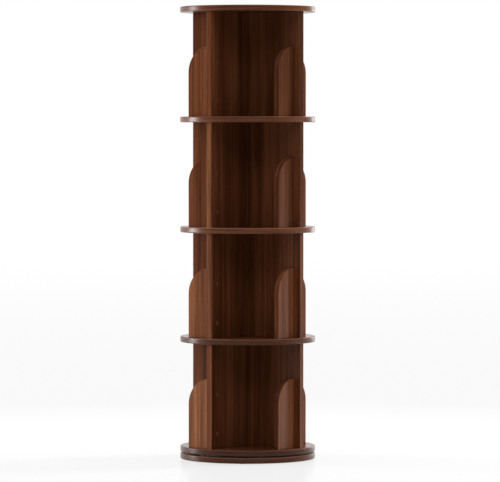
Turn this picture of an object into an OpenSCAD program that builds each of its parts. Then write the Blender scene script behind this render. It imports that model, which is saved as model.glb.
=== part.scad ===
// Rotating bookshelf: four tiers of crossed boards between round shelves, turning on a ball
// bearing ring that is let into the base disc and the lowest shelf.
// Millimetres. The origin is on the floor under the centre of the base, with +Z up. The crossed
// boards lie along X and Y.

/* [Discs and boards] */
// Diameter of the base disc, the shelves and the top
disc_d = 400; // [370:1:460]
// Thickness of the discs and the crossed boards
board_t = 17; // [15:0.5:22]
// Clear height between one shelf and the next
clear_h = 308; // [270:1:360]
// Width of the small flat that eases each rim and board end
edge_ease = 1; // [0.4:0.1:2]
// How far the ends of the crossed boards stay inside the rim
arm_setback = 5; // [2:0.5:12]
// Play on each side of a board in the slot that it crosses through
lap_play = 0.1; // [0.05:0.05:0.3]

/* [Fins] */
// Thickness of a fin
fin_t = 16; // [12:0.5:20]
// Height of a fin above its shelf
fin_h = 205; // [170:1:250]
// Straight part of a fin's top edge, next to the board, before the round starts
fin_flat = 6; // [4:0.5:25]
// Distance from the end of the board to the fin's outer face
fin_inset = 21; // [10:0.5:40]
// How far the fin's outer corner stays inside the rim
fin_setback = 4; // [2:0.5:10]

/* [Turntable] */
// Open gap between the base disc and the lowest shelf
turn_gap = 4; // [3:0.5:6]
// Radius of the circle that the ball centres run on
race_r = 136; // [125:1:142]
// Diameter of a ball
ball_d = 4; // [3:0.5:5]
// Number of balls
ball_count = 36; // [24:1:48]
// Play between a ball and its two grooves
ball_play = 0.1; // [0.05:0.01:0.15]
// Height of each ring
ring_h = 7; // [6.5:0.5:9]
// Width of each ring, from the running gap outwards or inwards
ring_w = 16; // [14:0.5:18]
// Running gap between the two rings
ring_gap = 1.2; // [1:0.1:1.6]
// How much higher the inner ring sits than the outer ring
ring_step = 1; // [0.6:0.1:1.4]
// Play of each ring in the recess that holds it
recess_play = 0.3; // [0.2:0.1:0.6]
// Height of the strip that keeps the balls apart
cage_h = 5.4; // [5:0.1:6]
// Play between the strip and each ring
cage_play = 0.2; // [0.15:0.05:0.3]
// Play between a ball and its hole in the strip
cage_hole_play = 0.15; // [0.1:0.05:0.3]

/* [Dowels] */
// Diameter of a wooden dowel
dowel_d = 8; // [6:0.5:9]
// Depth of a dowel in the edge of a board
dowel_in_board = 16; // [10:1:20]
// Depth of a dowel in the lowest shelf or the top
dowel_in_disc = 12; // [8:0.5:12.5]
// Distance of the inner dowel from the axis
dowel_inner_r = 60; // [45:1:80]
// Distance of the outer dowel from the axis
dowel_outer_r = 145; // [130:1:150]
// Bevel on the ends of a dowel
dowel_bevel = 0.8; // [0.4:0.1:1.2]
// Play between a dowel and its hole, and between each hidden fitting and its hole
fit_play = 0.1; // [0.05:0.05:0.2]

/* [Cam fittings] */
// Distance of the cam fittings from the axis
cam_r = 110; // [95:1:120]
// Distance from the edge of a board to the centre of its cam
cam_set = 24; // [20:0.5:30]
// Diameter of a cam
cam_d = 15; // [12:0.5:18]
// Diameter of the smooth part of a cam bolt
cam_bolt_d = 7; // [6:0.5:8]
// Diameter of the thread that a cam bolt has in the lowest shelf or the top
cam_thread_d = 6; // [5:0.5:7]
// Depth of that thread
cam_thread_l = 11; // [8:0.5:12]
// Diameter of a cam bolt's head
cam_head_d = 6.4; // [5.5:0.1:7]
// Diameter of the neck below the head
cam_neck_d = 4; // [3:0.5:4.5]
// Diameter of the cap over a cam
cam_cap_d = 18; // [17:0.5:22]
// Thickness of the caps over the cams and over the fin screws
cap_t = 1; // [0.6:0.1:1.2]

/* [Screws, bolts and feet] */
// Diameter of a fin screw
fin_screw_d = 5; // [4:0.5:6]
// Length of a fin screw inside its fin
fin_screw_grip = 33; // [20:1:45]
// Distance of the fin screws from the bottom and from the top of the fin
fin_screw_inset = 45; // [30:1:60]
// Diameter of a fin screw's head
fin_head_d = 9.6; // [8:0.1:10.5]
// Height of a fin screw's head
fin_head_h = 3.2; // [2:0.1:4.5]
// Diameter of the cap over a fin screw
fin_cap_d = 13; // [12:0.5:15]
// Diameter of a bolt that holds the outer ring to the base disc
base_bolt_d = 5; // [4:0.5:6]
// Diameter of its head
base_head_d = 9; // [8:0.5:10]
// Height of its head
base_head_h = 3; // [2:0.1:3.5]
// Depth of the head below the underside of the base disc
base_head_sink = 0.5; // [0.2:0.1:1]
// Diameter of a screw that holds the inner ring to the lowest shelf
ring_screw_d = 4; // [3:0.5:4.5]
// Length of that screw inside the shelf
ring_screw_grip = 10; // [6:0.5:11]
// Diameter of its countersunk head
ring_head_d = 7.6; // [6.5:0.1:9]
// Height of its countersunk head
ring_head_h = 2; // [1.5:0.1:3]
// Number of screws or bolts in each ring
ring_fixings = 6; // [4:1:8]
// Diameter of a foot pad
pad_d = 25; // [18:1:30]
// Thickness of a foot pad
pad_h = 2; // [1:0.5:4]
// Number of foot pads
pad_count = 6; // [4:1:8]
// Distance from the rim to the centre of a foot pad
pad_inset = 32; // [20:1:45]

/* [Hidden] */
$fn = 72;
tiers = 4;
fin_names = ["a", "b", "c", "d"];
eps = 0.01;
past = 1;

disc_r = disc_d / 2;
arm_end = disc_r - arm_setback;
arm_angles = [0, 90, 180, 270];

fin_out = arm_end - fin_inset;
fin_in = fin_out - fin_t;
fin_mid = fin_out - fin_t / 2;
fin_edge = sqrt(pow(disc_r - fin_setback, 2) - pow(fin_out, 2));
fin_reach = fin_edge - board_t / 2;
fin_round = fin_reach - fin_flat;
fin_screw_heights = [fin_screw_inset, fin_h - fin_screw_inset];
fin_head_sink = 0.2;

base_top = pad_h + board_t;
shelf_under = base_top + turn_gap;
tier_pitch = clear_h + board_t;
top_disc = tiers + 1;

race_z = base_top + turn_gap / 2;
outer_ring_z = race_z - (ring_h + ring_step) / 2;
inner_ring_z = outer_ring_z + ring_step;
outer_ring_in = race_r + ring_gap / 2;
outer_ring_out = outer_ring_in + ring_w;
inner_ring_out = race_r - ring_gap / 2;
inner_ring_in = inner_ring_out - ring_w;
groove_r = ball_d / 2 + ball_play;
recess_depth = base_top - outer_ring_z;
cage_t = ring_gap - 2 * cage_play;
base_bolt_r = outer_ring_in + ring_w / 2;
ring_screw_r = inner_ring_out - ring_w / 2;
ring_fixing_start = 15;
base_bolt_seat = pad_h + base_head_h + base_head_sink;
base_bolt_short = 0.5;
base_bolt_tip = outer_ring_z + ring_h - base_bolt_short;
base_bolt_play = 0.25;

cam_floor = 1;
cam_depth = board_t / 2 + cam_head_d / 2 + cam_floor;
cam_sink = 0.2;
cam_drum_r = cam_d / 2 - fit_play;
cam_hollow_d = cam_head_d + 4 * fit_play;
cam_head_l = 3.5;
cam_shank_gap = 1.2;
cam_shank_end = cam_set - cam_d / 2 - cam_shank_gap;
cam_driver_w = 2;
cam_driver_l = 9;
cam_driver_depth = 2.2;

walnut = [0.37, 0.22, 0.15];
walnut_dark = [0.31, 0.18, 0.12];
beech = [0.78, 0.63, 0.45];
aluminium = [0.75, 0.76, 0.78];
steel = [0.6, 0.61, 0.63];
zinc = [0.68, 0.68, 0.66];
nylon = [0.88, 0.88, 0.84];
cap_brown = [0.3, 0.18, 0.12];
felt = [0.2, 0.18, 0.16];

// Height of the underside of disc i: 1 is the lowest shelf and top_disc is the top
function disc_z(i) = shelf_under + (i - 1) * tier_pitch;

// Height of the floor of tier t, on which its boards and fins stand
function tier_z(t) = disc_z(t) + board_t;

module on_arms() {
    for (a = arm_angles) rotate([0, 0, a]) children();
}

module around(count, start = 0) {
    for (i = [0:count - 1]) rotate([0, 0, start + i * 360 / count]) children();
}

// A flat ring between two radii
module ring(r_in, r_out, h) {
    difference() {
        cylinder(r = r_out, h = h);
        translate([0, 0, -past]) cylinder(r = r_in, h = h + 2 * past);
    }
}

// A round panel with both rim edges eased
module disc_blank() {
    rotate_extrude() polygon([
        [0, 0],
        [disc_r - edge_ease, 0],
        [disc_r, edge_ease],
        [disc_r, board_t - edge_ease],
        [disc_r - edge_ease, board_t],
        [0, board_t]
    ]);
}

// The routed recess that both rings of the turntable lie in
module ring_recess() {
    ring(inner_ring_in - recess_play, outer_ring_out + recess_play, recess_depth + past);
}

module foot_pads() {
    color(felt) around(pad_count) translate([disc_r - pad_inset, 0, 0]) cylinder(d = pad_d, h = pad_h);
}

// Stays still on the floor. The outer ring lies in its recess and is bolted from below.
module base_disc() {
    color(walnut_dark) difference() {
        translate([0, 0, pad_h]) disc_blank();
        translate([0, 0, outer_ring_z]) ring_recess();
        around(ring_fixings, ring_fixing_start) translate([base_bolt_r, 0, pad_h - past]) {
            cylinder(d = base_bolt_d + 2 * base_bolt_play, h = board_t + past);
            cylinder(d = base_head_d + 2 * base_bolt_play, h = base_bolt_seat - pad_h + past);
        }
    }
}

module base_bolts() {
    color(zinc) around(ring_fixings, ring_fixing_start) translate([base_bolt_r, 0, 0]) {
        translate([0, 0, base_bolt_seat - base_head_h]) cylinder(d = base_head_d, h = base_head_h);
        translate([0, 0, base_bolt_seat - eps])
            cylinder(d = base_bolt_d, h = base_bolt_tip - base_bolt_seat + eps);
    }
}

// The round groove that the balls run in, as a ring shaped tool at the middle of the gap
module race_groove() {
    translate([0, 0, race_z]) rotate_extrude() translate([race_r, 0]) circle(r = groove_r);
}

module turntable_outer_ring() {
    color(aluminium) difference() {
        translate([0, 0, outer_ring_z]) ring(outer_ring_in, outer_ring_out, ring_h);
        race_groove();
        around(ring_fixings, ring_fixing_start) translate([base_bolt_r, 0, outer_ring_z - past])
            cylinder(d = base_bolt_d + 2 * fit_play, h = ring_h + 2 * past);
    }
}

module bearing_balls() {
    color(steel) around(ball_count) translate([race_r, 0, race_z]) sphere(d = ball_d, $fn = 32);
}

module ball_cage() {
    color(nylon) difference() {
        translate([0, 0, race_z - cage_h / 2]) ring(race_r - cage_t / 2, race_r + cage_t / 2, cage_h);
        around(ball_count) translate([race_r - ring_gap, 0, race_z]) rotate([0, 90, 0])
            cylinder(d = ball_d + 2 * cage_hole_play, h = 2 * ring_gap, $fn = 32);
    }
}

module turntable_inner_ring() {
    color(aluminium) difference() {
        translate([0, 0, inner_ring_z]) ring(inner_ring_in, inner_ring_out, ring_h);
        race_groove();
        around(ring_fixings, ring_fixing_start) translate([ring_screw_r, 0, inner_ring_z]) {
            translate([0, 0, -past]) cylinder(d = ring_screw_d + 2 * fit_play, h = ring_h + 2 * past);
            translate([0, 0, -eps]) cylinder(
                d1 = ring_head_d + 4 * fit_play,
                d2 = ring_screw_d + 2 * fit_play,
                h = ring_head_h + 3 * fit_play
            );
        }
    }
}

module ring_screws() {
    color(steel) around(ring_fixings, ring_fixing_start) translate([ring_screw_r, 0, inner_ring_z]) {
        translate([0, 0, fit_play / 2]) cylinder(d1 = ring_head_d, d2 = ring_screw_d, h = ring_head_h);
        translate([0, 0, ring_head_h]) cylinder(d = ring_screw_d, h = ring_h - ring_head_h + ring_screw_grip);
    }
}

// Dowel and cam bolt holes from the upper face down into a disc that starts at z = 0
module fixing_holes_down() {
    on_arms() {
        for (r = [dowel_inner_r, dowel_outer_r]) translate([r, 0, board_t - dowel_in_disc - fit_play])
            cylinder(d = dowel_d + 2 * fit_play, h = dowel_in_disc + fit_play + past);
        translate([cam_r, 0, board_t - cam_thread_l - fit_play])
            cylinder(d = cam_thread_d + 2 * fit_play, h = cam_thread_l + fit_play + past);
    }
}

// Dowel and cam bolt holes right through a disc that starts at z = 0
module fixing_holes_through() {
    on_arms() {
        for (r = [dowel_inner_r, dowel_outer_r]) translate([r, 0, -past])
            cylinder(d = dowel_d + 2 * fit_play, h = board_t + 2 * past);
        translate([cam_r, 0, -past]) cylinder(d = cam_bolt_d + 2 * fit_play, h = board_t + 2 * past);
    }
}

// The lowest shelf turns on the inner ring, which is screwed up into its recess
module bottom_shelf() {
    color(walnut) translate([0, 0, disc_z(1)]) difference() {
        disc_blank();
        translate([0, 0, -past]) ring_recess();
        around(ring_fixings, ring_fixing_start) translate([ring_screw_r, 0, 0])
            cylinder(d = ring_screw_d + 2 * fit_play, h = recess_depth + ring_screw_grip + fit_play);
        fixing_holes_down();
    }
}

module middle_shelf(i) {
    color(walnut) translate([0, 0, disc_z(i)]) difference() {
        disc_blank();
        fixing_holes_through();
    }
}

module top_disc() {
    color(walnut) translate([0, 0, disc_z(top_disc)]) difference() {
        disc_blank();
        translate([0, 0, board_t]) mirror([0, 0, 1]) fixing_holes_down();
    }
}

// Plan of a crossed board along X, with its four corners eased
module board_plan() {
    x = arm_end;
    y = board_t / 2;
    polygon([
        [-x + edge_ease, -y],
        [x - edge_ease, -y],
        [x, -y + edge_ease],
        [x, y - edge_ease],
        [x - edge_ease, y],
        [-x + edge_ease, y],
        [-x, y - edge_ease],
        [-x, -y + edge_ease]
    ]);
}

// The holes in one edge of a crossed board: the edge is at z = 0 and the board lies above it
module edge_holes() {
    for (side = [-1, 1]) {
        for (r = [dowel_inner_r, dowel_outer_r]) translate([side * r, 0, -past])
            cylinder(d = dowel_d + 2 * fit_play, h = dowel_in_board + fit_play + past);
        translate([side * cam_r, 0, -past]) cylinder(d = cam_bolt_d + 2 * fit_play, h = cam_set + past);
        translate([side * cam_r, board_t / 2 + past, cam_set]) rotate([90, 0, 0])
            cylinder(d = cam_d, h = cam_depth + fit_play + past);
    }
}

// Screw holes for the two fins of a board, each drilled from the face opposite its fin
module fin_screw_holes() {
    for (turn = [0, 180]) rotate([0, 0, turn])
        for (z = fin_screw_heights) translate([fin_mid, board_t / 2 + past, z]) rotate([90, 0, 0]) {
            cylinder(d = fin_screw_d + 2 * fit_play, h = board_t + 2 * past);
            cylinder(d = fin_head_d + 2 * fit_play, h = fin_head_h + fin_head_sink + past);
        }
}

// A full width board of one tier, from z = 0 up, with the slot for the board that it crosses in
// its upper half when from_top is true and in its lower half otherwise
module crossed_board(from_top) {
    slot_w = board_t + 2 * lap_play;
    slot_z = from_top ? clear_h / 2 - lap_play : -past;
    color(walnut) difference() {
        linear_extrude(clear_h) board_plan();
        translate([-slot_w / 2, -board_t, slot_z])
            cube([slot_w, 2 * board_t, clear_h / 2 + lap_play + past]);
        edge_holes();
        translate([0, 0, clear_h]) mirror([0, 0, 1]) edge_holes();
        fin_screw_holes();
    }
}

module long_board(t) {
    translate([0, 0, tier_z(t)]) crossed_board(true);
}

module cross_board(t) {
    translate([0, 0, tier_z(t)]) rotate([0, 0, 90]) crossed_board(false);
}

// Side view of a fin, with the board on its left: a straight upright whose outer top corner is
// one wide quarter round
module fin_profile() {
    difference() {
        square([fin_reach, fin_h]);
        translate([fin_flat, fin_h - fin_round]) difference() {
            square(fin_round + past);
            circle(r = fin_round);
        }
    }
}

module fin(t, place) {
    color(walnut) translate([0, 0, tier_z(t)]) rotate([0, 0, arm_angles[place]]) difference() {
        translate([fin_in, -board_t / 2, 0]) mirror([0, 1, 0]) rotate([90, 0, 90])
            linear_extrude(fin_t) fin_profile();
        for (z = fin_screw_heights) translate([fin_mid, -board_t / 2 + past, z]) rotate([90, 0, 0])
            cylinder(d = fin_screw_d + 2 * fit_play, h = fin_screw_grip + fit_play + past);
    }
}

// A dowel with bevelled ends, from z = 0 up
module dowel(length) {
    r = dowel_d / 2;
    rotate_extrude() polygon([
        [0, 0],
        [r - dowel_bevel, 0],
        [r, dowel_bevel],
        [r, length - dowel_bevel],
        [r - dowel_bevel, length],
        [0, length]
    ]);
}

module dowel_ring(length) {
    on_arms() for (r = [dowel_inner_r, dowel_outer_r]) translate([r, 0, 0]) dowel(length);
}

// Long dowels that line up two tiers through the shelf between them
module through_dowels() {
    color(beech) for (i = [2:tiers]) translate([0, 0, disc_z(i) - dowel_in_board])
        dowel_ring(board_t + 2 * dowel_in_board);
}

// Short dowels in the lowest shelf and in the top
module blind_dowels() {
    length = dowel_in_disc + dowel_in_board;
    color(beech) {
        translate([0, 0, tier_z(1) - dowel_in_disc]) dowel_ring(length);
        translate([0, 0, disc_z(top_disc) - dowel_in_board]) dowel_ring(length);
    }
}

// The end of a cam bolt inside a board whose edge is at z = 0: shank, neck and head
module cam_bolt_end() {
    rotate_extrude() polygon([
        [0, 0],
        [cam_bolt_d / 2, 0],
        [cam_bolt_d / 2, cam_shank_end],
        [cam_neck_d / 2, cam_shank_end + 1],
        [cam_neck_d / 2, cam_set - cam_head_l / 2],
        [cam_head_d / 2, cam_set - cam_head_l / 2 + 1],
        [cam_head_d / 2, cam_set + cam_head_l / 2 - 1],
        [cam_head_d / 2 - 1, cam_set + cam_head_l / 2],
        [0, cam_set + cam_head_l / 2]
    ]);
}

// Bolts with a head at each end, which pull two tiers onto the shelf between them
module double_cam_bolts() {
    color(zinc) for (i = [2:tiers]) translate([0, 0, disc_z(i)]) on_arms() translate([cam_r, 0, 0]) {
        translate([0, 0, -eps]) cylinder(d = cam_bolt_d, h = board_t + 2 * eps);
        translate([0, 0, board_t]) cam_bolt_end();
        mirror([0, 0, 1]) cam_bolt_end();
    }
}

module single_cam_bolt() {
    translate([0, 0, -cam_thread_l]) cylinder(d = cam_thread_d, h = cam_thread_l + eps);
    cam_bolt_end();
}

// Bolts that are screwed into the lowest shelf and into the top
module single_cam_bolts() {
    color(zinc) on_arms() translate([cam_r, 0, 0]) {
        translate([0, 0, tier_z(1)]) single_cam_bolt();
        translate([0, 0, disc_z(top_disc)]) mirror([0, 0, 1]) single_cam_bolt();
    }
}

// Puts its children at every cam: origin on the board's face over the cam's centre, +Z out of the
// face, and +Y towards the bolt that the cam pulls on
module at_cams() {
    for (t = [1:tiers]) translate([0, 0, tier_z(t)])
        for (turn = [0, 90]) rotate([0, 0, turn])
            for (side = [-1, 1]) translate([side * cam_r, board_t / 2, 0]) {
                translate([0, 0, cam_set]) rotate([-90, 0, 0]) children();
                translate([0, 0, clear_h - cam_set]) rotate([-90, 0, 0]) rotate([0, 0, 180]) children();
            }
}

// A cam: a short drum that is hollow where it holds the bolt's head, with a slot for the neck and a
// cross for the screwdriver
module cam_lock() {
    bolt_z = -board_t / 2;
    difference() {
        translate([0, 0, -cam_depth]) cylinder(r = cam_drum_r, h = cam_depth - cam_sink);
        translate([0, -cam_hollow_d / 2, bolt_z]) rotate([-90, 0, 0])
            cylinder(d = cam_hollow_d, h = cam_hollow_d);
        translate([0, 0, bolt_z]) rotate([-90, 0, 0])
            cylinder(d = cam_neck_d + 4 * fit_play, h = cam_d / 2 + past);
        for (a = [45, 135]) rotate([0, 0, a]) translate([0, 0, -cam_sink])
            cube([cam_driver_l, cam_driver_w, 2 * cam_driver_depth], center = true);
    }
}

module cam_locks() {
    color(zinc) at_cams() cam_lock();
}

module cam_caps() {
    color(cap_brown) at_cams() cylinder(d1 = cam_cap_d, d2 = cam_cap_d - cap_t, h = cap_t);
}

// Puts its children at every fin screw: origin on the board's face over the screw's head, with +Z
// out of the face
module at_fin_screws() {
    for (t = [1:tiers]) translate([0, 0, tier_z(t)]) on_arms()
        for (z = fin_screw_heights) translate([fin_mid, board_t / 2, z]) rotate([-90, 0, 0]) children();
}

module fin_screws() {
    length = board_t + fin_screw_grip;
    color(zinc) at_fin_screws() {
        translate([0, 0, -length]) cylinder(d = fin_screw_d, h = length - fin_head_sink - fin_head_h / 2);
        translate([0, 0, -fin_head_sink - fin_head_h]) cylinder(d = fin_head_d, h = fin_head_h);
    }
}

module fin_screw_caps() {
    color(cap_brown) at_fin_screws() cylinder(d1 = fin_cap_d, d2 = fin_cap_d - cap_t, h = cap_t);
}

foot_pads();
base_disc();
base_bolts();
turntable_outer_ring();
bearing_balls();
ball_cage();
turntable_inner_ring();
ring_screws();
bottom_shelf();
for (i = [2:tiers]) middle_shelf(i);
top_disc();
for (t = [1:tiers]) long_board(t);
for (t = [1:tiers]) cross_board(t);
for (t = [1:tiers]) for (place = [0:len(fin_names) - 1])
    fin(t, place);
through_dowels();
blind_dowels();
double_cam_bolts();
single_cam_bolts();
cam_locks();
cam_caps();
fin_screws();
fin_screw_caps();
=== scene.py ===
import math

import bmesh
import bpy
from mathutils import Matrix, Vector


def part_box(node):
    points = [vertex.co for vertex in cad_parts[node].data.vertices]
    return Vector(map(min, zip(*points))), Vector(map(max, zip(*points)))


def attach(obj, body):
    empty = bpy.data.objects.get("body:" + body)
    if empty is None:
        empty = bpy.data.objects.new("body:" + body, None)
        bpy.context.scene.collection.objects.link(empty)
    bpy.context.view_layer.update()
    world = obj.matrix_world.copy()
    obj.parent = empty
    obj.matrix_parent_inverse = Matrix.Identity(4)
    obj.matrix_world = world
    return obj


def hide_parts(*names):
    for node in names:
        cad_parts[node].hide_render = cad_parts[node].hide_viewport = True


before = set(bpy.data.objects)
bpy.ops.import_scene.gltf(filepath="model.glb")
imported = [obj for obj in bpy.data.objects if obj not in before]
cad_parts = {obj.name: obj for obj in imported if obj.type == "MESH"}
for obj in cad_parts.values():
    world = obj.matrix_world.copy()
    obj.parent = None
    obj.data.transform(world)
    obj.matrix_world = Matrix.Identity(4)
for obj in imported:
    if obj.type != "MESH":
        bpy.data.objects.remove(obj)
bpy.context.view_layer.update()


# Foot pads. Six discs of pressed felt, cut round and glued under the base disc near its rim. The
# felt is charcoal, its cut edge is a little fuzzy, and its upper rim is hidden by the disc.

PAD_COUNT = 6
PAD_ROUND = 0.0005
PAD_AROUND = 48
SHALLOW = math.cos(math.radians(40))

# Here and below, shades are places on a ramp with their colours, a pattern is its repeats to the
# metre, its detail and its roughness, and a relief is its strength and its depth in metres.
FELT_SHADES = ((0.30, (0.010, 0.009, 0.008)), (0.75, (0.045, 0.039, 0.034)))
FELT_FIBRES = (2600, 5, 0.7)
FELT_RELIEF = (0.6, 0.0004)
FELT_ROUGH = 0.95
FELT_SHEEN = 0.4


def new_piece(name, data):
    """A new object in the scene. A mesh has its place in its own points."""
    piece = bpy.data.objects.new(name, data)
    bpy.context.scene.collection.objects.link(piece)
    return piece


def turned(profile, around):
    """A closed mesh turned about Z from (radius, height, slot) points, listed from the foot round
    the outside to the head. The slot is that of the band after the point. It gets a UV map in
    metres: along the rim, and up it or out along the radius."""
    mesh = bmesh.new()
    uv = mesh.loops.layers.uv.new("band")
    angles = [2 * math.pi * i / around for i in range(around)]
    ways = [(math.cos(angle), math.sin(angle)) for angle in angles]
    rings = []
    for radius, height, _ in profile:
        rings.append([mesh.verts.new((radius * x, radius * y, height)) for x, y in ways])
    rim = max(radius for radius, _, _ in profile)
    along = 0.0
    for k in range(len(profile) - 1):
        (r0, z0, band), (r1, z1, _) = profile[k], profile[k + 1]
        step = math.hypot(r1 - r0, z1 - z0)
        for i in range(around):
            j = (i + 1) % around
            face = mesh.faces.new((rings[k][i], rings[k][j], rings[k + 1][j], rings[k + 1][i]))
            face.material_index = band
            face.smooth = True
            spans = (i, i + 1, i + 1, i)
            rises = (along, along, along + step, along + step)
            for loop, span, rise in zip(face.loops, spans, rises):
                loop[uv].uv = (2 * math.pi * rim * span / around, rise)
        along += step
    foot = mesh.faces.new(list(reversed(rings[0])))
    head = mesh.faces.new(rings[-1])
    foot.material_index = profile[0][2]
    head.material_index = profile[-1][2]
    return mesh


def rounded_rim(radius, low, high, round_r, face_slot=0, rim_slot=0, steps=4):
    """Profile points of a disc edge with a quarter round at its lower and its upper corner."""
    lower, upper = [], []
    for i in range(steps + 1):
        angle = math.pi / 2 * i / steps
        slow, fast = round_r * (1 - math.cos(angle)), round_r * (1 - math.sin(angle))
        lower.append((radius - fast, low + slow, rim_slot))
        upper.append((radius - slow, high - fast, face_slot if i == steps else rim_slot))
    return lower + upper


def as_mesh(mesh, name, place=None):
    """Finishes a bmesh: moved to its place, with its faces turned outwards. Each corner takes the
    mean direction of the faces that meet there at a shallow angle, by area, so that a broad face
    stays flat and the rounding beside it takes up all of the turn."""
    if place is not None:
        bmesh.ops.transform(mesh, matrix=place, verts=mesh.verts)
    bmesh.ops.recalc_face_normals(mesh, faces=mesh.faces)
    areas = {face: face.calc_area() for face in mesh.faces}
    corners = []
    for face in mesh.faces:
        for corner in face.loops:
            near = [f for f in corner.vert.link_faces if f.normal.dot(face.normal) > SHALLOW]
            corners.append(sum((f.normal * areas[f] for f in near), Vector()).normalized())
    data = bpy.data.meshes.new(name)
    mesh.to_mesh(data)
    mesh.free()
    data.normals_split_custom_set(corners)
    return data


def material(name):
    """A new node material. Returns it with its tree and its surface shader."""
    made = bpy.data.materials.new(name)
    made.use_nodes = True
    tree = made.node_tree
    return made, tree, tree.nodes["Principled BSDF"]


def add(tree, kind, **values):
    """Adds a node and sets its properties, or its sockets where it has no such property."""
    node = tree.nodes.new(kind)
    for name, value in values.items():
        if hasattr(node, name):
            setattr(node, name, value)
        else:
            node.inputs[name.replace("_", " ")].default_value = value
    return node


def maths(tree, operation, *values):
    """A sum on up to three values, each a number or a socket."""
    node = add(tree, "ShaderNodeMath", operation=operation)
    for socket, value in zip(node.inputs, values):
        if isinstance(value, (int, float)):
            socket.default_value = value
        else:
            tree.links.new(value, socket)
    return node.outputs[0]


def ramp(tree, source, stops):
    """A colour ramp on a socket, from (position, colour) stops, where a number is a grey."""
    node = tree.nodes.new("ShaderNodeValToRGB")
    tree.links.new(source, node.inputs["Fac"])
    elements = node.color_ramp.elements
    while len(elements) < len(stops):
        elements.new(1.0)
    for element, (position, colour) in zip(elements, stops):
        if isinstance(colour, float):
            colour = (colour, colour, colour)
        element.position = position
        element.color = (*colour, 1)
    return node.outputs["Color"]


def noise(tree, vector, scale, detail=3.0, roughness=0.55):
    node = add(tree, "ShaderNodeTexNoise", Scale=scale, Detail=detail, Roughness=roughness)
    tree.links.new(vector, node.inputs["Vector"])
    return node.outputs["Fac"]


def bump(tree, shader, height, relief):
    strength, depth = relief
    node = add(tree, "ShaderNodeBump", Strength=strength, Distance=depth)
    tree.links.new(height, node.inputs["Height"])
    tree.links.new(node.outputs["Normal"], shader.inputs["Normal"])


def object_points(tree):
    return tree.nodes.new("ShaderNodeTexCoord").outputs["Object"]


def copies_tree():
    """Geometry nodes: the mesh repeated about Z at equal turns, and again at equal heights."""
    tree = bpy.data.node_groups.new("copies round the axis and up the tiers", "GeometryNodeTree")
    sockets = (
        ("Mesh", "Geometry"), ("Copies", "Int"), ("Turn", "Float"),
        ("Levels", "Int"), ("Pitch", "Float"), ("Finish", "Material"),
    )
    for name, kind in sockets:
        tree.interface.new_socket(name=name, in_out="INPUT", socket_type="NodeSocket" + kind)
    tree.interface.new_socket(name="Mesh", in_out="OUTPUT", socket_type="NodeSocketGeometry")
    given = tree.nodes.new("NodeGroupInput").outputs
    result = tree.nodes.new("NodeGroupOutput").inputs

    index = tree.nodes.new("GeometryNodeInputIndex").outputs["Index"]
    copy = maths(tree, "MODULO", index, given["Copies"])
    level = maths(tree, "FLOOR", maths(tree, "DIVIDE", index, given["Copies"]))
    place = tree.nodes.new("ShaderNodeCombineXYZ")
    tree.links.new(maths(tree, "MULTIPLY", level, given["Pitch"]), place.inputs["Z"])
    turn = tree.nodes.new("ShaderNodeCombineXYZ")
    tree.links.new(maths(tree, "MULTIPLY", copy, given["Turn"]), turn.inputs["Z"])
    points = tree.nodes.new("GeometryNodePoints")
    count = maths(tree, "MULTIPLY", given["Copies"], given["Levels"])
    tree.links.new(count, points.inputs["Count"])
    tree.links.new(place.outputs[0], points.inputs["Position"])
    put = tree.nodes.new("GeometryNodeInstanceOnPoints")
    tree.links.new(points.outputs[0], put.inputs["Points"])
    tree.links.new(given["Mesh"], put.inputs["Instance"])
    tree.links.new(turn.outputs[0], put.inputs["Rotation"])
    solid = tree.nodes.new("GeometryNodeRealizeInstances")
    tree.links.new(put.outputs[0], solid.inputs[0])
    finish = tree.nodes.new("GeometryNodeSetMaterial")
    tree.links.new(solid.outputs[0], finish.inputs["Geometry"])
    tree.links.new(given["Finish"], finish.inputs["Material"])
    tree.links.new(finish.outputs[0], result["Mesh"])
    return tree


COPIES = copies_tree()


def repeated(name, mesh, finish, copies, turn, levels=1, pitch=0.0):
    """A piece made of copies of a mesh, as one plain mesh with no modifier left on it."""
    pattern = new_piece(name + "_pattern", mesh)
    modifier = pattern.modifiers.new("copies", "NODES")
    modifier.node_group = COPIES
    values = {"Copies": copies, "Turn": turn, "Levels": levels, "Pitch": pitch, "Finish": finish}
    for item in COPIES.interface.items_tree:
        if item.in_out == "INPUT" and item.name in values:
            modifier[item.identifier] = values[item.name]
    shown = pattern.evaluated_get(bpy.context.evaluated_depsgraph_get())
    made = bpy.data.meshes.new_from_object(shown)
    made.name = name
    bpy.data.objects.remove(pattern)
    return new_piece(name, made)


def felt():
    made, tree, shader = material("felt")
    fibres = noise(tree, object_points(tree), *FELT_FIBRES)
    tree.links.new(ramp(tree, fibres, FELT_SHADES), shader.inputs["Base Color"])
    shader.inputs["Roughness"].default_value = FELT_ROUGH
    shader.inputs["Sheen Weight"].default_value = FELT_SHEEN
    bump(tree, shader, fibres, FELT_RELIEF)
    return made


def span(node):
    """The lowest and highest corner of a CAD node, and its size."""
    low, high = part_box(node)
    return low, high, high - low


def radii(node):
    """The least and the greatest distance of a CAD node's points from the turntable's axis."""
    reach = [math.hypot(v.co.x, v.co.y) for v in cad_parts[node].data.vertices]
    return min(reach), max(reach)


pad_low, pad_high, _ = span("foot_pads")
pad_in, pad_out = radii("foot_pads")
pad_rim = rounded_rim((pad_out - pad_in) / 2, pad_low.z, pad_high.z, PAD_ROUND)
pad_place = Matrix.Translation(((pad_in + pad_out) / 2, 0, 0))
pad_mesh = as_mesh(turned(pad_rim, PAD_AROUND), "felt_pad", pad_place)
felt_pads = repeated("felt_pads", pad_mesh, felt(), PAD_COUNT, math.tau / PAD_COUNT)
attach(felt_pads, "base")
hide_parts("foot_pads")


# Base disc. A round panel of board, veneered in walnut on both faces and edge banded, that stays
# still on the floor. A ring shaped recess routed into its upper face takes the turntable.

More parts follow.
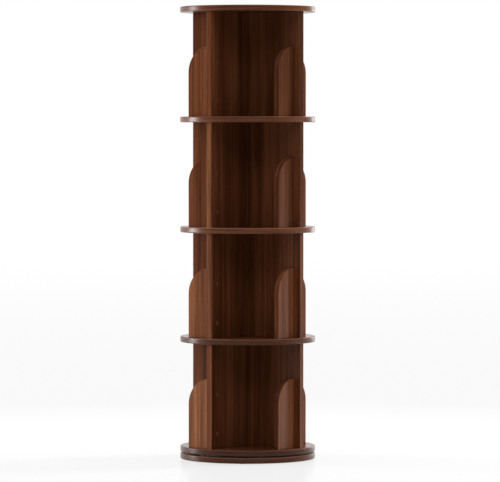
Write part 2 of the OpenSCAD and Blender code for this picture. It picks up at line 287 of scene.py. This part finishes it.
DISC_ROUND = 0.003
DISC_STEPS = 6
DISC_AROUND = 192
DISC_HUB = 0.02
RECESS_PLAY = 0.0003
FACE_SLOT = 0
BAND_SLOT = 1

WALNUT_SHADES = (
    (0.30, (0.062, 0.0170, 0.0058)),
    (0.52, (0.155, 0.0475, 0.0175)),
    (0.72, (0.245, 0.0850, 0.0340)),
)
LATE_SHADE = (0.50, 0.42, 0.36)
LATE_SHARE = 0.38
STREAK_SHADES = ((0.32, 0.66), (0.50, 1.00), (0.70, 1.22))
FIBRE_SHADES = ((0.25, 0.78), (0.75, 1.16))
PORE_SHADE = (0.026, 0.0095, 0.0048)
PORE_SHARE = 0.55
DISC_TONE = 0.7
BASE_RIM_TONE = 0.68
FACE_SHEEN = 0.19
RIM_SHEEN = 0.29
RIM_MATT = 0.08

# The figure: year rings round a heart behind the face, then patterns with their repeats to the
# metre across and along the grain, their detail and their roughness.
YEAR_WIDTH = 0.0085
YEAR_WAVER = 0.075
YEAR_LINES = ((0.0, 0.25), (0.55, 0.0), (0.88, 1.0), (1.0, 0.3))
HEART_DEPTH = 0.11
DRIFT = (7.0, 0.9, 2.0, 0.5)
BANDS = (26.0, 0.75, 4.0, 0.62)
STREAKS = (150.0, 2.6, 3.0, 0.6)
FIBRES = (620.0, 16.0, 4.0, 0.65)
TICKS = (1500.0, 52.0, 2.0, 0.5)
PORES = ((0.60, 0.0), (0.70, 1.0))

# The lacquer's roughness and relief, and how much faster green and blue rise in a paler tone.
LACQUER_ROUGH = 0.16
FIBRE_ROUGH = 0.08
PORE_ROUGH = 0.10
PORE_DEPTH = -0.8
GRAIN_RELIEF = (0.15, 0.00015)
PALE_GREEN = 0.40
PALE_BLUE = 0.65

# Each panel and each edge band is cut from its own stretch of veneer.
VENEER_START = -0.5
VENEER_STEP = (0.173, 0.019, 0.61)
EDGE_STRETCH = 40
LENGTHWAYS = (0, math.radians(90), 0)
ALONG_EDGE = (0, math.radians(-90), 0)


def vector_maths(tree, operation, vector, other=(0, 0, 0)):
    """A sum on a vector socket and a fixed vector. Returns the node's outputs."""
    node = add(tree, "ShaderNodeVectorMath", operation=operation)
    tree.links.new(vector, node.inputs[0])
    node.inputs[1].default_value = other
    return node.outputs


def walnut_tree():
    """The figure of sliced walnut as a shader group. X and Y run across the grain, Z along it."""
    tree = bpy.data.node_groups.new("sliced walnut", "ShaderNodeTree")
    tree.interface.new_socket(name="Vector", in_out="INPUT", socket_type="NodeSocketVector")
    tree.interface.new_socket(name="Tone", in_out="INPUT", socket_type="NodeSocketFloat")
    for name, kind in (("Color", "Color"), ("Gloss", "Float"), ("Relief", "Float")):
        tree.interface.new_socket(name=name, in_out="OUTPUT", socket_type="NodeSocket" + kind)
    given = tree.nodes.new("NodeGroupInput").outputs
    result = tree.nodes.new("NodeGroupOutput").inputs

    def marks(across, along, detail, roughness):
        scale = (across, across, along)
        where = vector_maths(tree, "MULTIPLY", given["Vector"], scale)["Vector"]
        return noise(tree, where, 1.0, detail, roughness)

    def blend(mode, factor, a, b):
        """A mix of two colours, which are the Mix node's sockets 6 and 7."""
        node = add(tree, "ShaderNodeMix", data_type="RGBA", blend_type=mode)
        for socket, value in ((node.inputs[0], factor), (node.inputs[6], a), (node.inputs[7], b)):
            if isinstance(value, (int, float)):
                socket.default_value = value
            elif isinstance(value, tuple):
                socket.default_value = (*value, 1)
            else:
                tree.links.new(value, socket)
        return node.outputs[2]

    drift = marks(*DRIFT)
    parts = tree.nodes.new("ShaderNodeSeparateXYZ")
    tree.links.new(given["Vector"], parts.inputs[0])
    side = parts.outputs["X"]
    depth = maths(tree, "ADD", parts.outputs["Y"], HEART_DEPTH)
    squares = maths(tree, "ADD", maths(tree, "MULTIPLY", side, side),
                    maths(tree, "MULTIPLY", depth, depth))
    years = maths(tree, "MULTIPLY_ADD", drift, YEAR_WAVER, maths(tree, "SQRT", squares))
    year = maths(tree, "FRACT", maths(tree, "DIVIDE", years, YEAR_WIDTH))
    late = ramp(tree, year, YEAR_LINES)
    bands = ramp(tree, marks(*BANDS), WALNUT_SHADES)
    streaks = ramp(tree, marks(*STREAKS), STREAK_SHADES)
    fibres = marks(*FIBRES)
    pores = ramp(tree, marks(*TICKS), PORES)

    colour = blend("MULTIPLY", maths(tree, "MULTIPLY", late, LATE_SHARE), bands, LATE_SHADE)
    colour = blend("MULTIPLY", 1.0, colour, streaks)
    colour = blend("MULTIPLY", 1.0, colour, ramp(tree, fibres, FIBRE_SHADES))
    colour = blend("MIX", maths(tree, "MULTIPLY", pores, PORE_SHARE), colour, PORE_SHADE)
    paler = maths(tree, "MAXIMUM", given["Tone"], 1.0)
    scale = tree.nodes.new("ShaderNodeCombineXYZ")
    tree.links.new(given["Tone"], scale.inputs["X"])
    for axis, power in (("Y", PALE_GREEN), ("Z", PALE_BLUE)):
        rise = maths(tree, "POWER", paler, power)
        tree.links.new(maths(tree, "MULTIPLY", given["Tone"], rise), scale.inputs[axis])
    tree.links.new(blend("MULTIPLY", 1.0, colour, scale.outputs[0]), result["Color"])

    gloss = maths(tree, "MULTIPLY_ADD", fibres, FIBRE_ROUGH, LACQUER_ROUGH)
    tree.links.new(maths(tree, "MULTIPLY_ADD", pores, PORE_ROUGH, gloss), result["Gloss"])
    tree.links.new(maths(tree, "MULTIPLY_ADD", pores, PORE_DEPTH, fibres), result["Relief"])
    return tree


SLICED_WALNUT = walnut_tree()


def walnut(name, source, turn, shift, tone, sheen, matt):
    """A lacquered walnut surface. The grain runs along the Z of the turned coordinates."""
    made, tree, shader = material(name)
    where = tree.nodes.new("ShaderNodeTexCoord").outputs[source]
    mapping = add(tree, "ShaderNodeMapping", Location=shift, Rotation=turn)
    tree.links.new(where, mapping.inputs["Vector"])
    figure = tree.nodes.new("ShaderNodeGroup")
    figure.node_tree = SLICED_WALNUT
    figure.inputs["Tone"].default_value = tone
    tree.links.new(mapping.outputs[0], figure.inputs["Vector"])
    tree.links.new(figure.outputs["Color"], shader.inputs["Base Color"])
    rough = maths(tree, "ADD", figure.outputs["Gloss"], matt)
    tree.links.new(rough, shader.inputs["Roughness"])
    bump(tree, shader, figure.outputs["Relief"], GRAIN_RELIEF)
    shader.inputs["Specular IOR Level"].default_value = sheen
    return made


def shift_of(number):
    """A different stretch of veneer for every panel, by the panel's number."""
    across, deep, along = VENEER_STEP
    return (across * (number % 7) + VENEER_START, deep * (number % 5), along * number)


def veneer(piece, number, grain, tones, sheen, matt):
    """Gives a panel the finish of its faces and of its edge band. The tones are those of the faces
    and of the band, and the sheen and the matt are the band's."""
    name = piece.name.replace("_", " ")
    face, edge = shift_of(number), shift_of(number + EDGE_STRETCH)
    finishes = (
        walnut(name + " face", "Object", grain, face, tones[0], FACE_SHEEN, 0.0),
        walnut(name + " edge band", "UV", ALONG_EDGE, edge, tones[1], sheen, matt),
    )
    for finish in finishes:
        piece.data.materials.append(finish)


def disc_profile(node, recess=None, recess_up=True):
    """The section of a round panel, outside its plain middle. A recess is its inner radius, its
    outer radius and the height of its floor."""
    low, high, _ = span(node)
    radius = min(-low.x, -low.y, high.x, high.y)
    rim = rounded_rim(radius, low.z, high.z, DISC_ROUND, FACE_SLOT, BAND_SLOT, DISC_STEPS)
    before, after = [], []
    if recess is not None:
        inner, outer, floor = recess
        if recess_up:
            after = [(outer, high.z), (outer, floor), (inner, floor), (inner, high.z)]
        else:
            before = [(inner, low.z), (inner, floor), (outer, floor), (outer, low.z)]
    before = [(r, z, FACE_SLOT) for r, z in [(DISC_HUB, low.z)] + before]
    after = [(r, z, FACE_SLOT) for r, z in after + [(DISC_HUB, high.z)]]
    return before + rim + after


def disc(node, name, body, number, rim_tone, recess=None, recess_up=True):
    profile = disc_profile(node, recess, recess_up)
    piece = new_piece(name, as_mesh(turned(profile, DISC_AROUND), name))
    veneer(piece, number, LENGTHWAYS, (DISC_TONE, rim_tone), RIM_SHEEN, RIM_MATT)
    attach(piece, body)
    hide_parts(node)


ring_in = radii("turntable_inner_ring")[0] - RECESS_PLAY
ring_out = radii("turntable_outer_ring")[1] + RECESS_PLAY
base_recess = (ring_in, ring_out, span("turntable_outer_ring")[0].z)
disc("base_disc", "base_panel", "base", 0, BASE_RIM_TONE, base_recess)


# Turntable. Two flat rings turned from aluminium, one inside the other, with steel balls between
# them in a round groove and a thin nylon strip that keeps the balls apart. Zinc plated bolts hold
# the outer ring to the base and countersunk screws hold the inner ring to the lowest shelf.

ALUMINIUM_SHADES = ((0.3, (0.4592, 0.4674, 0.4756)), (0.7, (0.56, 0.57, 0.58)))
ALUMINIUM_ROUGH = ((0.2, 0.42), (0.8, 0.56))
STEEL_SHADES = ((0.3, (0.4510, 0.4592, 0.4756)), (0.7, (0.55, 0.56, 0.58)))
STEEL_ROUGH = ((0.2, 0.08), (0.8, 0.22))
LATHE_LINES = 5200
LATHE_RELIEF = (0.25, 0.00008)
ZINC_SHADES = ((0.35, (0.36, 0.36, 0.34)), (0.65, (0.58, 0.58, 0.55)))
ZINC_ROUGH = ((0.3, 0.30), (0.7, 0.46))
ZINC_CLOUD = (420, 4)
NYLON_SHADES = ((0.3, (0.6882, 0.6882, 0.6417)), (0.7, (0.74, 0.74, 0.69)))
NYLON_ROUGH = ((0.3, 0.42), (0.7, 0.50))
NYLON_CLOUD = 160
NYLON_SUBSURFACE = 0.08
EDGE_ANGLE = math.radians(30)


def shade(tree, shader, pattern, shades, roughs):
    """Lets the colour and the roughness of a surface follow a pattern."""
    tree.links.new(ramp(tree, pattern, shades), shader.inputs["Base Color"])
    tree.links.new(ramp(tree, pattern, roughs), shader.inputs["Roughness"])


def turned_metal(name, shades, roughs):
    """Metal with fine lines round the axis, as a lathe tool leaves them."""
    made, tree, shader = material(name)
    points = object_points(tree)
    parts = tree.nodes.new("ShaderNodeSeparateXYZ")
    tree.links.new(points, parts.inputs[0])
    flat = vector_maths(tree, "MULTIPLY", points, (1, 1, 0))["Vector"]
    rings = tree.nodes.new("ShaderNodeCombineXYZ")
    tree.links.new(vector_maths(tree, "LENGTH", flat)["Value"], rings.inputs["X"])
    tree.links.new(parts.outputs["Z"], rings.inputs["Y"])
    lines = noise(tree, rings.outputs[0], LATHE_LINES)
    shade(tree, shader, lines, shades, roughs)
    bump(tree, shader, lines, LATHE_RELIEF)
    shader.inputs["Metallic"].default_value = 1.0
    return made


def zinc():
    made, tree, shader = material("zinc plate")
    shade(tree, shader, noise(tree, object_points(tree), *ZINC_CLOUD), ZINC_SHADES, ZINC_ROUGH)
    shader.inputs["Metallic"].default_value = 1.0
    return made


def nylon():
    made, tree, shader = material("nylon")
    shade(tree, shader, noise(tree, object_points(tree), NYLON_CLOUD), NYLON_SHADES, NYLON_ROUGH)
    shader.inputs["Subsurface Weight"].default_value = NYLON_SUBSURFACE
    return made


def finish_node(node, finish):
    """Gives a CAD node a finish. Its mesh stays as it is, with its edges kept sharp."""
    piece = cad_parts[node]
    piece.data.materials.clear()
    piece.data.materials.append(finish)
    piece.data.set_sharp_from_angle(angle=EDGE_ANGLE)


RING_FINISH = turned_metal("turned aluminium", ALUMINIUM_SHADES, ALUMINIUM_ROUGH)
ZINC = zinc()
finish_node("turntable_outer_ring", RING_FINISH)
finish_node("turntable_inner_ring", RING_FINISH)
finish_node("bearing_balls", turned_metal("polished steel", STEEL_SHADES, STEEL_ROUGH))
finish_node("ball_cage", nylon())
finish_node("base_bolts", ZINC)
finish_node("ring_screws", ZINC)


# Shelves and top. Four round shelves and the round top, made as the base disc is. The lowest shelf
# has the turntable's recess in its underside. The veneer on their upper faces runs from side to
# side, along X.

# The lowest shelf's rim is darker than the others: partly the walnut's own tone, and partly
# painted shade that stands in for the dark reflection low down by the floor.
LOWEST_RIM_TONE_AND_SHADE = 0.40
SHELF_RIM_TONES = {2: 0.54, 3: 1.12, 4: 0.77}
TOP_RIM_TONE = 0.80

shelf_recess = (ring_in, ring_out, span("turntable_inner_ring")[1].z)
disc("bottom_shelf", "shelf_panel_1", "shelf", 1, LOWEST_RIM_TONE_AND_SHADE, shelf_recess, recess_up=False)
for number, rim_tone in SHELF_RIM_TONES.items():
    disc(f"shelf_{number}", f"shelf_panel_{number}", "shelf", number, rim_tone)
disc("top_disc", "top_panel", "shelf", 5, TOP_RIM_TONE)


# Crossed boards. Two full width boards stand upright on each shelf and cross in the middle, each
# slotted to half its height. The veneer runs upright, and the board ends and slots are square.

TIERS = 4
LAP_PLAY = 0.0001
ARRIS = 0.0008
ARRIS_STEPS = 3
BROAD_FACE = 0.999
END_SHEEN = 0.21
LONG_TONES = (0.94, 1.00, 1.00, 0.86)
CROSS_TONES = (0.80, 0.80, 0.80, 0.84)
LONG_END_TONES = (0.78, 1.10, 0.55, 0.44)
CROSS_END_TONES = (0.90, 1.55, 1.77, 1.00)
# Kind, angle in degrees, number of the stretch of veneer before the first, tones of faces and ends
BOARD_KINDS = (
    ("long", 0, 6, LONG_TONES, LONG_END_TONES),
    ("cross", 90, 10, CROSS_TONES, CROSS_END_TONES),
)


def nearest_side(point, ends):
    """The number of the side of an outline that lies nearest to a point."""
    def away(i):
        a, b = ends[i], ends[(i + 1) % len(ends)]
        share = max(0.0, min(1.0, (point - a).dot(b - a) / (b - a).length_squared))
        return (a.lerp(b, share) - point).length

    return min(range(len(ends)), key=away)


def panel(outline, thickness, place):
    """A flat panel from its outline, eased all round with a small quarter round. The outline runs
    anticlockwise in X and Z, and the panel lies evenly about Y = 0 before it is placed. The edge
    band has a UV map in metres along and across it."""
    mesh = bmesh.new()
    half = thickness / 2
    sides = [[mesh.verts.new((x, y, z)) for x, z in outline] for y in (-half, half)]
    mesh.faces.new(sides[0])
    mesh.faces.new(list(reversed(sides[1])))
    count = len(outline)
    for i in range(count):
        j = (i + 1) % count
        mesh.faces.new((sides[0][j], sides[0][i], sides[1][i], sides[1][j]))
    bmesh.ops.recalc_face_normals(mesh, faces=mesh.faces)
    rims = [e for e in mesh.edges if abs(e.verts[0].co.y - e.verts[1].co.y) < half]
    bmesh.ops.bevel(
        mesh, geom=rims, offset=ARRIS, segments=ARRIS_STEPS, profile=0.5, affect="EDGES"
    )
    uv = mesh.loops.layers.uv.new("band")
    ends = [Vector((x, 0, z)) for x, z in outline]
    reach = [0.0]
    for i in range(count):
        reach.append(reach[-1] + (ends[(i + 1) % count] - ends[i]).length)
    for face in mesh.faces:
        face.material_index = FACE_SLOT if abs(face.normal.y) > BROAD_FACE else BAND_SLOT
        face.smooth = True
        centre = face.calc_center_median()
        centre.y = 0
        near = nearest_side(centre, ends)
        line = (ends[(near + 1) % count] - ends[near]).normalized()
        for loop in face.loops:
            along = (loop.vert.co - ends[near]).dot(line)
            loop[uv].uv = (reach[near] + along, loop.vert.co.y)
    return as_mesh(mesh, "panel", place)


def board_outline(length, height, slot, from_top):
    """A board's front view: a rectangle with a slot for the other board, open at one edge."""
    x, s = length / 2, slot / 2
    if from_top:
        floor = height / 2 - LAP_PLAY
        notch = [(s, height), (s, floor), (-s, floor), (-s, height)]
        return [(-x, 0), (x, 0), (x, height)] + notch + [(-x, height)]
    roof = height / 2 + LAP_PLAY
    notch = [(-s, 0), (-s, roof), (s, roof), (s, 0)]
    return [(-x, 0)] + notch + [(x, 0), (x, height), (-x, height)]


def turn_about_z(degrees):
    return Matrix.Rotation(math.radians(degrees), 4, "Z")


for tier in range(1, TIERS + 1):
    for kind, degrees, before, face_tones, end_tones in BOARD_KINDS:
        node = f"{kind}_board_{tier}"
        low, _, size = span(node)
        length, thickness = max(size.x, size.y), min(size.x, size.y)
        outline = board_outline(length, size.z, thickness + 2 * LAP_PLAY, kind == "long")
        upright = Matrix.Translation((0, 0, low.z)) @ turn_about_z(degrees)
        piece = new_piece(f"{kind}_panel_{tier}", panel(outline, thickness, upright))
        grain = (0, 0, math.radians(-degrees))
        tones = (face_tones[tier - 1], end_tones[tier - 1])
        veneer(piece, before + tier, grain, tones, END_SHEEN, 0.0)
        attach(piece, "shelf")
        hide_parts(node)


# Fins. A low upright panel stands square to each board near its end and closes the outer side of a
# compartment. Its outer top corner is one wide quarter round, and the edge band runs over it.

FIN_FLAT = 0.006
FIN_ARC = 28
# Each fin of a tier is the first one, turned about the axis by so many degrees.
FIN_TURNS = {"a": 0, "b": 90, "c": 180, "d": 270}
# Tones of the fins' faces, tier by tier from the lowest. The lower tiers are paler: partly the
# walnut's own tone from fin to fin, and partly painted light that stands in for the light thrown
# up from the floor.
FIN_TONES_AND_PAINTED_LIGHT = {
    "a": (1.11, 1.07, 0.65, 0.64),
    "b": (1.30, 1.20, 1.00, 0.95),
    "c": (1.40, 1.10, 1.20, 1.00),
    "d": (1.78, 1.40, 0.84, 1.08),
}
FIN_EDGE_TONE = 0.85
FIN_EDGE_SHEEN = 0.10
FIN_EDGE_MATT = 0.12
FIRST_FIN_STRETCH = 18


def fin_outline(reach, height, round_r):
    """Front view with the board on the left: up the outer side, round the corner and back."""
    corner = []
    for i in range(FIN_ARC + 1):
        angle = math.pi / 2 * i / FIN_ARC
        inwards, down = round_r * (1 - math.cos(angle)), round_r * (1 - math.sin(angle))
        corner.append((reach - inwards, height - down))
    return [(0, 0), (reach, 0)] + corner + [(0, height)]


for tier in range(1, TIERS + 1):
    for count, (letter, degrees) in enumerate(FIN_TURNS.items()):
        node = f"fin_{tier}{letter}"
        low, high, size = span(f"fin_{tier}a")
        outline = fin_outline(size.y, size.z, size.y - FIN_FLAT)
        first = Matrix((
            (0, 1, 0, (low.x + high.x) / 2),
            (-1, 0, 0, high.y),
            (0, 0, 1, low.z),
            (0, 0, 0, 1),
        ))
        upright = turn_about_z(degrees) @ first
        piece = new_piece(f"fin_panel_{tier}{letter}", panel(outline, size.x, upright))
        number = FIRST_FIN_STRETCH + len(FIN_TURNS) * (tier - 1) + count
        grain = (0, 0, math.radians(-degrees - 90))
        tones = (FIN_TONES_AND_PAINTED_LIGHT[letter][tier - 1], FIN_EDGE_TONE)
        veneer(piece, number, grain, tones, FIN_EDGE_SHEEN, FIN_EDGE_MATT)
        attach(piece, "shelf")
        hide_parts(node)


# Dowels, cam bolts, cams and screws. They lie inside the panels: beech dowels line the tiers up,
# zinc bolts with cams pull them together, and two screws run through each board into each fin.

BEECH_SHADES = ((0.3, (0.36, 0.22, 0.12)), (0.7, (0.52, 0.36, 0.21)))
BEECH_STRETCH = (1, 1, 0.05)
BEECH_FIBRES = (1500, 4)
BEECH_RELIEF = (0.3, 0.0002)
BEECH_ROUGH = 0.7


def beech():
    made, tree, shader = material("beech")
    mapping = add(tree, "ShaderNodeMapping", Scale=BEECH_STRETCH)
    tree.links.new(object_points(tree), mapping.inputs["Vector"])
    fibres = noise(tree, mapping.outputs[0], *BEECH_FIBRES)
    tree.links.new(ramp(tree, fibres, BEECH_SHADES), shader.inputs["Base Color"])
    shader.inputs["Roughness"].default_value = BEECH_ROUGH
    bump(tree, shader, fibres, BEECH_RELIEF)
    return made


BEECH = beech()
for node in ("through_dowels", "blind_dowels"):
    finish_node(node, BEECH)
for node in ("double_cam_bolts", "single_cam_bolts", "cam_locks", "fin_screws"):
    finish_node(node, ZINC)


# Caps. Thin moulded discs in the brown of the wood cover the cams and the heads of the fin screws.
# Each is slightly domed, with a soft edge, and is pressed onto the board.

CAP_SHADES = ((0.3, (0.075, 0.026, 0.010)), (0.7, (0.125, 0.044, 0.017)))
CAP_ROUGH = ((0.3, 0.50), (0.7, 0.64))
CAP_GRIT = (900, 4, 0.6)
CAP_RELIEF = (0.2, 0.0001)
CAP_SHEEN = 0.12
CAP_THICK = 0.001
CAP_WALL = 0.35
CAP_DOME = (0.35, 0.7, 1.05, 1.35)
CAP_AROUND = 40
CAP_APART = 0.03
ON_FACE = 0.00001


def cap_finish():
    made, tree, shader = material("brown cap")
    grit = noise(tree, object_points(tree), *CAP_GRIT)
    shade(tree, shader, grit, CAP_SHADES, CAP_ROUGH)
    bump(tree, shader, grit, CAP_RELIEF)
    shader.inputs["Specular IOR Level"].default_value = CAP_SHEEN
    return made


CAP_FINISH = cap_finish()


def cap_spots(node):
    """The middles and the radius of a node's caps on the first tier's long board, from the points
    where the CAD caps touch its face."""
    _, high, _ = span("long_board_1")
    spots = []
    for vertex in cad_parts[node].data.vertices:
        point = vertex.co
        if abs(point.y - high.y) > ON_FACE or point.z > high.z:
            continue
        for spot in spots:
            if math.hypot(point.x - spot[0].x, point.z - spot[0].z) < CAP_APART:
                spot.append(point)
                break
        else:
            spots.append([point])
    middles, radius = [], 0.0
    for spot in spots:
        xs, zs = [p.x for p in spot], [p.z for p in spot]
        middles.append(((min(xs) + max(xs)) / 2, high.y, (min(zs) + max(zs)) / 2))
        radius = max(radius, (max(xs) - min(xs)) / 2)
    return middles, radius


def cap_mesh(middles, radius):
    """Domed caps that stand on a board's face, which faces along Y."""
    profile = [(radius, 0.0, 0), (radius, CAP_THICK * CAP_WALL, 0)]
    for angle in CAP_DOME:
        rise = CAP_THICK * (CAP_WALL + (1 - CAP_WALL) * math.sin(angle))
        profile.append((radius * math.cos(angle), rise, 0))
    whole = bmesh.new()
    for middle in middles:
        place = Matrix.Translation(middle) @ Matrix.Rotation(math.radians(-90), 4, "X")
        one = as_mesh(turned(profile, CAP_AROUND), "cap", place)
        whole.from_mesh(one)
        bpy.data.meshes.remove(one)
    return as_mesh(whole, "caps")


def caps(node, name, copies):
    """The caps of the first long board, repeated at quarter turns and up the tiers."""
    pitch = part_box("long_board_2")[0].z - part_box("long_board_1")[0].z
    mesh = cap_mesh(*cap_spots(node))
    piece = repeated(name, mesh, CAP_FINISH, copies, math.radians(90), TIERS, pitch)
    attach(piece, "shelf")
    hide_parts(node)


caps("cam_caps", "cam_cover_caps", copies=2)
caps("fin_screw_caps", "fin_screw_cover_caps", copies=4)


# Room. A studio with a pale floor that takes a soft shadow, a bright backdrop, a soft light above
# and a dim front. A tall lamp stands at the left and a fainter one behind, each a low panel under
# a higher one that is never mirrored, and a small lamp hangs high at the right.

CAMERA_TURN = math.radians(35.3)
CAMERA_AWAY = 10.597
CAMERA_HEIGHT = 0.984
CAMERA_REACH = 100.0
FILM_WIDTH = 36.0
LENS = 257.3
AIM_RIGHT = 0.0069
AIM_HEIGHT = 0.6462
INTO_PICTURE = (-math.sin(CAMERA_TURN), math.cos(CAMERA_TURN), 0)

# The floor's colour for the light that it throws on the bookshelf, in front and behind. Then the
# colour and the glow that the camera sees: near the bookshelf, away from it and at the far edge.
# The pairs are the distances over which one changes into the other.
FLOOR_SIZE = 40.0
FLOOR_FRONT = 0.26
FLOOR_BACK = 0.65
FLOOR_SHADED = 0.08
FLOOR_NEAR = 0.70
FLOOR_FAR = 0.95
FLOOR_EDGE = 1.0
FLOOR_ROUGH = 0.2
FLOOR_IOR = 1.02
FRONT_TO_BACK = (-0.5, 0.7)
SHADOW_REACH = (0.4, 2.5)
EDGE_REACH = (2.5, 16.0)

# The room's brightness, and where it changes: by the cosine of the angle to the way into the
# picture, and to straight up.
ROOM_FRONT = 0.08
ROOM_BACK = 1.0
ROOM_TOP = 2.05
ROOM_TURNS = (0.40, 0.72)
ROOM_RISES = (0.30, 0.75)

LOW_PANEL = (1.8, 1.75)
LOW_CENTRE = 0.88
UPPER_PANEL = (1.8, 4.25)
UPPER_CENTRE = 3.88
# Name, place on the floor, and power of the low and of the upper panel
TALL_LAMPS = (
    ("left_lamp", (-5.66, -1.98), 157.0, 383.0),
    ("rear_lamp", (-0.38, 5.98), 28.0, 67.0),
)
HIGH_PANEL = (1.0, 1.0)
HIGH_POWER = 350.0
HIGH_PLACE = (2.06, 3.23, 4.30)
HIGH_AIM = (0, 0, 0.67)


def eased(tree, value, ends):
    """A value mapped smoothly to 0 at the first end and 1 at the second."""
    node = add(tree, "ShaderNodeMapRange", interpolation_type="SMOOTHSTEP")
    tree.links.new(value, node.inputs["Value"])
    node.inputs["From Min"].default_value, node.inputs["From Max"].default_value = ends
    return node.outputs["Result"]


def between(tree, share, start, end):
    """A number between two others, each a number or a socket."""
    node = add(tree, "ShaderNodeMix", data_type="FLOAT")
    sockets = (node.inputs[0], node.inputs[2], node.inputs[3])
    for socket, value in zip(sockets, (share, start, end)):
        if isinstance(value, float):
            socket.default_value = value
        else:
            tree.links.new(value, socket)
    return node.outputs[0]


def background_rays(tree, behind):
    """1 for the rays that see the white background: those of the camera, and mirrored or refracted
    ones as far as they run behind the bookshelf."""
    ways = tree.nodes.new("ShaderNodeLightPath").outputs
    indirect = maths(tree, "MAXIMUM", ways["Is Glossy Ray"], ways["Is Transmission Ray"])
    mirrored = between(tree, indirect, 0.0, behind)
    return between(tree, ways["Is Camera Ray"], mirrored, 1.0)


half = FLOOR_SIZE / 2
corners = [(-half, -half, 0), (half, -half, 0), (half, half, 0), (-half, half, 0)]
floor_mesh = bpy.data.meshes.new("floor")
floor_mesh.from_pydata(corners, [], [(0, 1, 2, 3)])
floor = new_piece("floor", floor_mesh)
floor_finish, tree, shader = material("pale floor")
floor_mesh.materials.append(floor_finish)
point = object_points(tree)
distance = vector_maths(tree, "LENGTH", point)["Value"]
depth = vector_maths(tree, "DOT_PRODUCT", point, INTO_PICTURE)["Value"]
behind = eased(tree, depth, FRONT_TO_BACK)
far = eased(tree, distance, SHADOW_REACH)
edge = eased(tree, distance, EDGE_REACH)
seen = background_rays(tree, behind)
lit_tone = between(tree, behind, FLOOR_FRONT, FLOOR_BACK)
seen_tone = between(tree, far, FLOOR_SHADED, 0.0)
seen_glow = between(tree, edge, between(tree, far, FLOOR_NEAR, FLOOR_FAR), FLOOR_EDGE)
tree.links.new(between(tree, seen, lit_tone, seen_tone), shader.inputs["Base Color"])
tree.links.new(between(tree, seen, 0.0, seen_glow), shader.inputs["Emission Strength"])
tree.links.new(between(tree, far, FLOOR_IOR, 1.0), shader.inputs["IOR"])
shader.inputs["Emission Color"].default_value = (1, 1, 1, 1)
shader.inputs["Roughness"].default_value = FLOOR_ROUGH

world = bpy.data.worlds.new("surround")
bpy.context.scene.world = world
world.use_nodes = True
tree = world.node_tree
tree.nodes.clear()
facing = tree.nodes.new("ShaderNodeTexCoord").outputs["Generated"]
ahead = vector_maths(tree, "DOT_PRODUCT", facing, INTO_PICTURE)["Value"]
upwards = vector_maths(tree, "DOT_PRODUCT", facing, (0, 0, 1))["Value"]
behind = eased(tree, ahead, ROOM_TURNS)
above = eased(tree, upwards, ROOM_RISES)
room = between(tree, above, between(tree, behind, ROOM_FRONT, ROOM_BACK), ROOM_TOP)
light = add(tree, "ShaderNodeBackground", Color=(1, 1, 1, 1))
shown = between(tree, background_rays(tree, behind), room, 1.0)
tree.links.new(shown, light.inputs["Strength"])
out = tree.nodes.new("ShaderNodeOutputWorld")
tree.links.new(light.outputs[0], out.inputs["Surface"])


def lamp(name, power, size, place, aim, mirrored=True):
    """A rectangular lamp that lights the bookshelf but isn't seen itself."""
    light = bpy.data.lights.new(name, "AREA")
    light.energy = power
    light.shape = "RECTANGLE"
    light.size, light.size_y = size
    holder = new_piece(name, light)
    holder.location = place
    holder.rotation_euler = (Vector(aim) - Vector(place)).to_track_quat("-Z", "Y").to_euler()
    holder.visible_camera = False
    holder.visible_glossy = mirrored


for name, (x, y), low_power, upper_power in TALL_LAMPS:
    lamp(name, low_power, LOW_PANEL, (x, y, LOW_CENTRE), (0, 0, LOW_CENTRE))
    lamp(name + "_upper", upper_power, UPPER_PANEL, (x, y, UPPER_CENTRE), (0, 0, UPPER_CENTRE),
         mirrored=False)
lamp("high_lamp", HIGH_POWER, HIGH_PANEL, HIGH_PLACE, HIGH_AIM, mirrored=False)

camera = new_piece("camera", bpy.data.cameras.new("camera"))
bpy.context.scene.camera = camera
camera.data.sensor_width = FILM_WIDTH
camera.data.lens = LENS
camera.data.clip_end = CAMERA_REACH
camera.location = (
    math.sin(CAMERA_TURN) * CAMERA_AWAY,
    -math.cos(CAMERA_TURN) * CAMERA_AWAY,
    CAMERA_HEIGHT,
)
aside = Vector((math.cos(CAMERA_TURN), math.sin(CAMERA_TURN), 0)) * AIM_RIGHT
aim = aside + Vector((0, 0, AIM_HEIGHT))
camera.rotation_euler = (aim - camera.location).to_track_quat("-Z", "Y").to_euler()

bpy.context.scene.view_settings.view_transform = "Standard"
